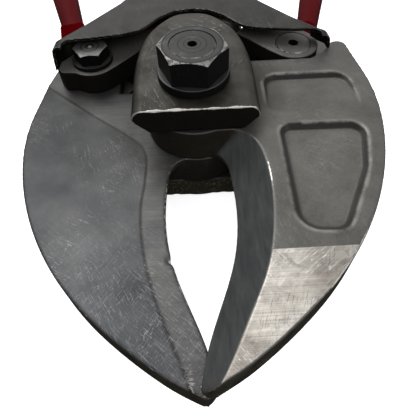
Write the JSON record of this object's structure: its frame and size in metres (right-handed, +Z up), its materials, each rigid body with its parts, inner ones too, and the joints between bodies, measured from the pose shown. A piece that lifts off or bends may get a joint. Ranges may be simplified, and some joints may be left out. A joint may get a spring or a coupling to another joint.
{
  "type": "bolt cutters",
  "caption": "Heavy bolt cutters: curved bypass blades on a nutted centre bolt between cast straps, forged levers under sheet guards and long tubular handles.",
  "frame": {"origin": "on the centre bolt's axis, at the shear plane where the two blades' flat faces meet", "axes": "+X toward the right blade, +Y along the centre line from the blades to the handles, +Z up, along the centre bolt toward its nut"},
  "size_m": [0.6532, 1.0542, 0.103],
  "materials": {
    "blade": "black oxide, satin",
    "strap": "oiled oxide, worn",
    "fastener": "black oxide",
    "pin": "ground",
    "lever": "forged, oxide",
    "guard": "pressed sheet, blackened",
    "handle": "satin dark red",
    "grip": "matt"
  },
  "bodies": {
    "frame": {"centre_bolt": "fastener", "centre_nut": "fastener", "centre_washer_upper": "fastener", "centre_washer_lower": "fastener", "centre_sleeve": "pin", "strap_upper": "strap", "strap_lower": "strap", "guard_upper": "guard", "guard_lower": "guard", "guard_screws_upper": "fastener", "guard_screws_lower": "fastener", "guard_spacer": "pin", "guard_spacer_bolt": "fastener", "guard_spacer_nut": "fastener"},
    "blade_r": {"blade_right": "blade"},
    "blade_l": {"blade_left": "blade"},
    "lever_r": {"lever_right": "lever", "tail_pin_right": "pin", "tail_bolt_right": "fastener", "tail_washer_right": "fastener", "handle_tube_right": "handle", "tube_pins_right": "pin", "grip_right": "grip", "grip_cap_right": "grip"},
    "lever_l": {"lever_left": "lever", "tail_pin_left": "pin", "tail_bolt_left": "fastener", "tail_washer_left": "fastener", "handle_tube_left": "handle", "tube_pins_left": "pin", "grip_left": "grip", "grip_cap_left": "grip", "handle_pivot_pin": "pin", "handle_pivot_collar": "pin"}
  },
  "joints": [
    {"name": "left_blade", "type": "hinge", "parent": "frame", "child": "blade_l", "pos_m": [0, 0, 0], "axis": [0, 0, 1], "range_deg": [-16, 19]},
    {"name": "right_blade", "type": "hinge", "parent": "frame", "child": "blade_r", "pos_m": [0, 0, 0], "axis": [0, 0, 1], "range_deg": [-19, 16]},
    {"name": "left_lever", "type": "hinge", "parent": "blade_l", "child": "lever_l", "pos_m": [-0.06355, 0.0479, 0], "axis": [0, 0, 1], "range_deg": [-38, 32]},
    {"name": "right_lever", "type": "hinge", "parent": "blade_r", "child": "lever_r", "pos_m": [0.06355, 0.0479, 0], "axis": [0, 0, 1], "range_deg": [-32, 38]}
  ],
  "couplings": [
    {"joint": "right_blade", "follows": "left_blade", "ratio": -1},
    {"joint": "left_lever", "follows": "left_blade", "ratio": -2},
    {"joint": "right_lever", "follows": "left_blade", "ratio": 2}
  ]
}
